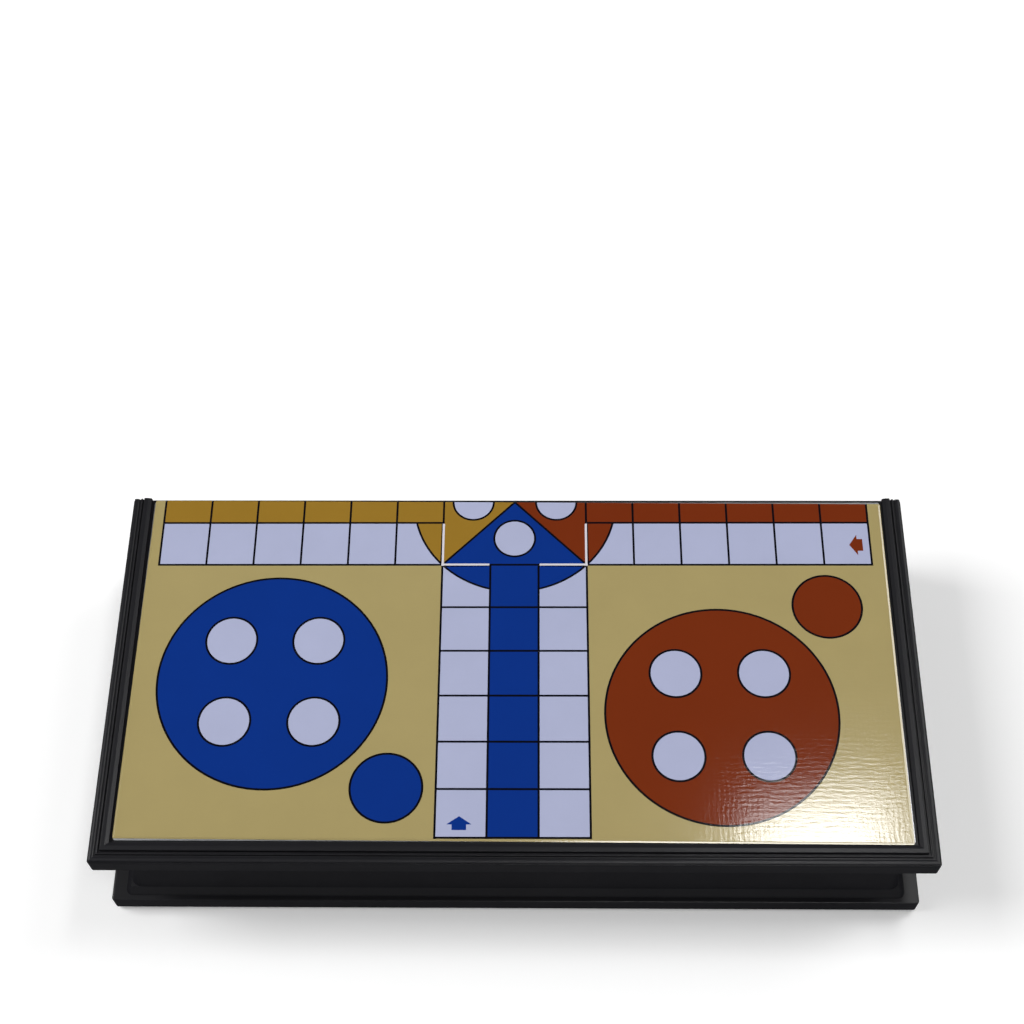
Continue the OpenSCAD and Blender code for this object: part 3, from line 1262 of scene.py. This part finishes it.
@dataclass
class Studio:
    """A pale floor, pale walls and a dark ceiling, with soft lamps."""

    floor_radius: float = 4.0
    floor_segments: int = 96
    floor_colour: str = "#FDFDFD"
    floor_roughness: float = 0.9
    floor_lift: float = 0.15
    lift_from: float = 0.5
    lift_to: float = 2.2
    wall_level: float = 0.95
    wall_top: float = 0.12
    ceiling_level: float = 0.05
    ceiling_foot: float = 0.5
    lamps: Sequence[Lamp] = (
        Lamp("softbox_left", (-1.15, 0.1, 1.3), 0.9, 0.7, 18.2),
        Lamp("softbox_right", (1.1, 0.6, 1.3), 0.9, 0.7, 7.5),
        Lamp("glare_lamp", (0.233, 0.168, 1.0), 0.118, 0.297, 1.3),
        Lamp("fill_front", (0.29, -0.6, 1.9), 0.52, 0.5, 6.0),
    )

    def build(self) -> None:
        """Sets the floor, the walls and the lamps."""
        scene = bpy.context.scene
        scene.view_settings.view_transform = "Standard"
        shape = bmesh.new()
        bmesh.ops.create_circle(
            shape, cap_ends=True, segments=self.floor_segments, radius=self.floor_radius
        )
        mesh = bpy.data.meshes.new("floor")
        shape.to_mesh(mesh)
        shape.free()
        mesh.materials.append(self.floor_material())
        floor = bpy.data.objects.new("floor", mesh)
        scene.collection.objects.link(floor)
        floor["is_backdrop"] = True
        scene.world = self.walls()
        for lamp in self.lamps:
            lamp.build()

    def floor_material(self) -> bpy.types.Material:
        """Makes the floor's matt white, lifted where it is looked at: a little near the box, fully far off.

        Returns:
            The material.
        """
        made = bpy.data.materials.new("white_floor")
        made.use_nodes = True
        tree = made.node_tree
        shader = tree.nodes["Principled BSDF"]
        shader.inputs["Base Color"].default_value = linear(self.floor_colour)
        shader.inputs["Roughness"].default_value = self.floor_roughness
        shader.inputs["Specular IOR Level"].default_value = 0.0
        path = add_node(tree, "ShaderNodeLightPath")
        seen = path.outputs["Is Camera Ray"]
        for other in ("Is Glossy Ray", "Is Transmission Ray"):
            seen = add_node(
                tree, "ShaderNodeMath", {"operation": "MAXIMUM"}, {0: seen, 1: path.outputs[other]}
            ).outputs[0]
        way_off = add_node(
            tree,
            "ShaderNodeVectorMath",
            {"operation": "LENGTH"},
            {0: add_node(tree, "ShaderNodeTexCoord").outputs["Object"]},
        )
        level = add_node(
            tree,
            "ShaderNodeMapRange",
            {"interpolation_type": "SMOOTHSTEP"},
            {"Value": way_off.outputs["Value"], "From Min": self.lift_from, "From Max": self.lift_to,
             "To Min": self.floor_lift, "To Max": 1.0},
        )
        lift = add_node(
            tree, "ShaderNodeMath", {"operation": "MULTIPLY"}, {0: seen, 1: level.outputs["Result"]}
        )
        shader.inputs["Emission Color"].default_value = (1, 1, 1, 1)
        tree.links.new(lift.outputs[0], shader.inputs["Emission Strength"])
        return made

    def walls(self) -> bpy.types.World:
        """Makes the room round the object: white walls low down, and a dark ceiling overhead.

        Returns:
            The world.
        """
        made = bpy.data.worlds.new("pale_room")
        made.use_nodes = True
        tree = made.node_tree
        way = add_node(tree, "ShaderNodeTexCoord")
        axes = add_node(tree, "ShaderNodeSeparateXYZ", inputs={"Vector": way.outputs["Generated"]})
        level = add_node(
            tree,
            "ShaderNodeMapRange",
            {"interpolation_type": "SMOOTHSTEP"},
            {"Value": axes.outputs["Z"], "From Min": self.wall_top, "From Max": self.ceiling_foot,
             "To Min": self.wall_level, "To Max": self.ceiling_level},
        )
        tree.links.new(level.outputs["Result"], tree.nodes["Background"].inputs["Strength"])
        tree.nodes["Background"].inputs["Color"].default_value = (1, 1, 1, 1)
        return made


@dataclass
class LudoBox:
    """The whole box: its trays, printed faces, hinge pins, tokens and die."""

    frame: Mapping[str, Any]

    @property
    def nodes(self) -> Mapping[str, bpy.types.Object]:
        """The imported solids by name."""
        return self.frame["nodes"]

    def fold_y(self) -> float:
        """Where the fold lies, in millimetres, from the hinge's own axis."""
        return self.frame["joints"][0]["pos_m"][1] / MM

    def build(self) -> None:
        """Dresses every solid and adds the pieces that the solids lack."""
        black, tin, steel, nickel = (f.build() for f in (BLACK_PLASTIC, TINPLATE, PIN_STEEL, NICKEL))
        for ink in Ink:
            ink_finish(ink).build()
        for half in Half:
            Tray(half).dress(self.nodes, black, tin)
        faces = (
            PrintedFace(
                Half.UPPER, art_turn=math.radians(0.09), art_shift=(-0.21, -0.95),
                sheet_turn=math.radians(-0.27),
            ),
            PrintedFace(
                Half.LOWER, art_turn=math.radians(-0.05), art_shift=(0.12, -0.95),
                sheet_turn=math.radians(0.06),
            ),
        )
        for face in faces:
            face.build(self.fold_y())
        for side in ("left", "right"):
            self.nodes[f"hinge_pin_{side}"].data.materials[0] = steel
            LOG.info("hinge pin %s dressed", side)
        Tokens().dress(self.nodes, nickel)
        Die().build(self.nodes, IVORY.build(), PIP_PAINT.build())


def corners(bounds: tuple[Vector, Vector]) -> list[list[float]]:
    """The two corners of a box as plain numbers."""
    return [list(corner) for corner in bounds]


def main() -> None:
    """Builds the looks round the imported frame."""
    logging.basicConfig(level=logging.INFO, format="%(name)s %(message)s")
    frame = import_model()
    cad_box = corners(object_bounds())
    Studio().build()
    PhotoCamera().build()
    LudoBox(frame).build()
    {"cad": cad_box, "visual": corners(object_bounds())}


if __name__ == "__main__":
    main()
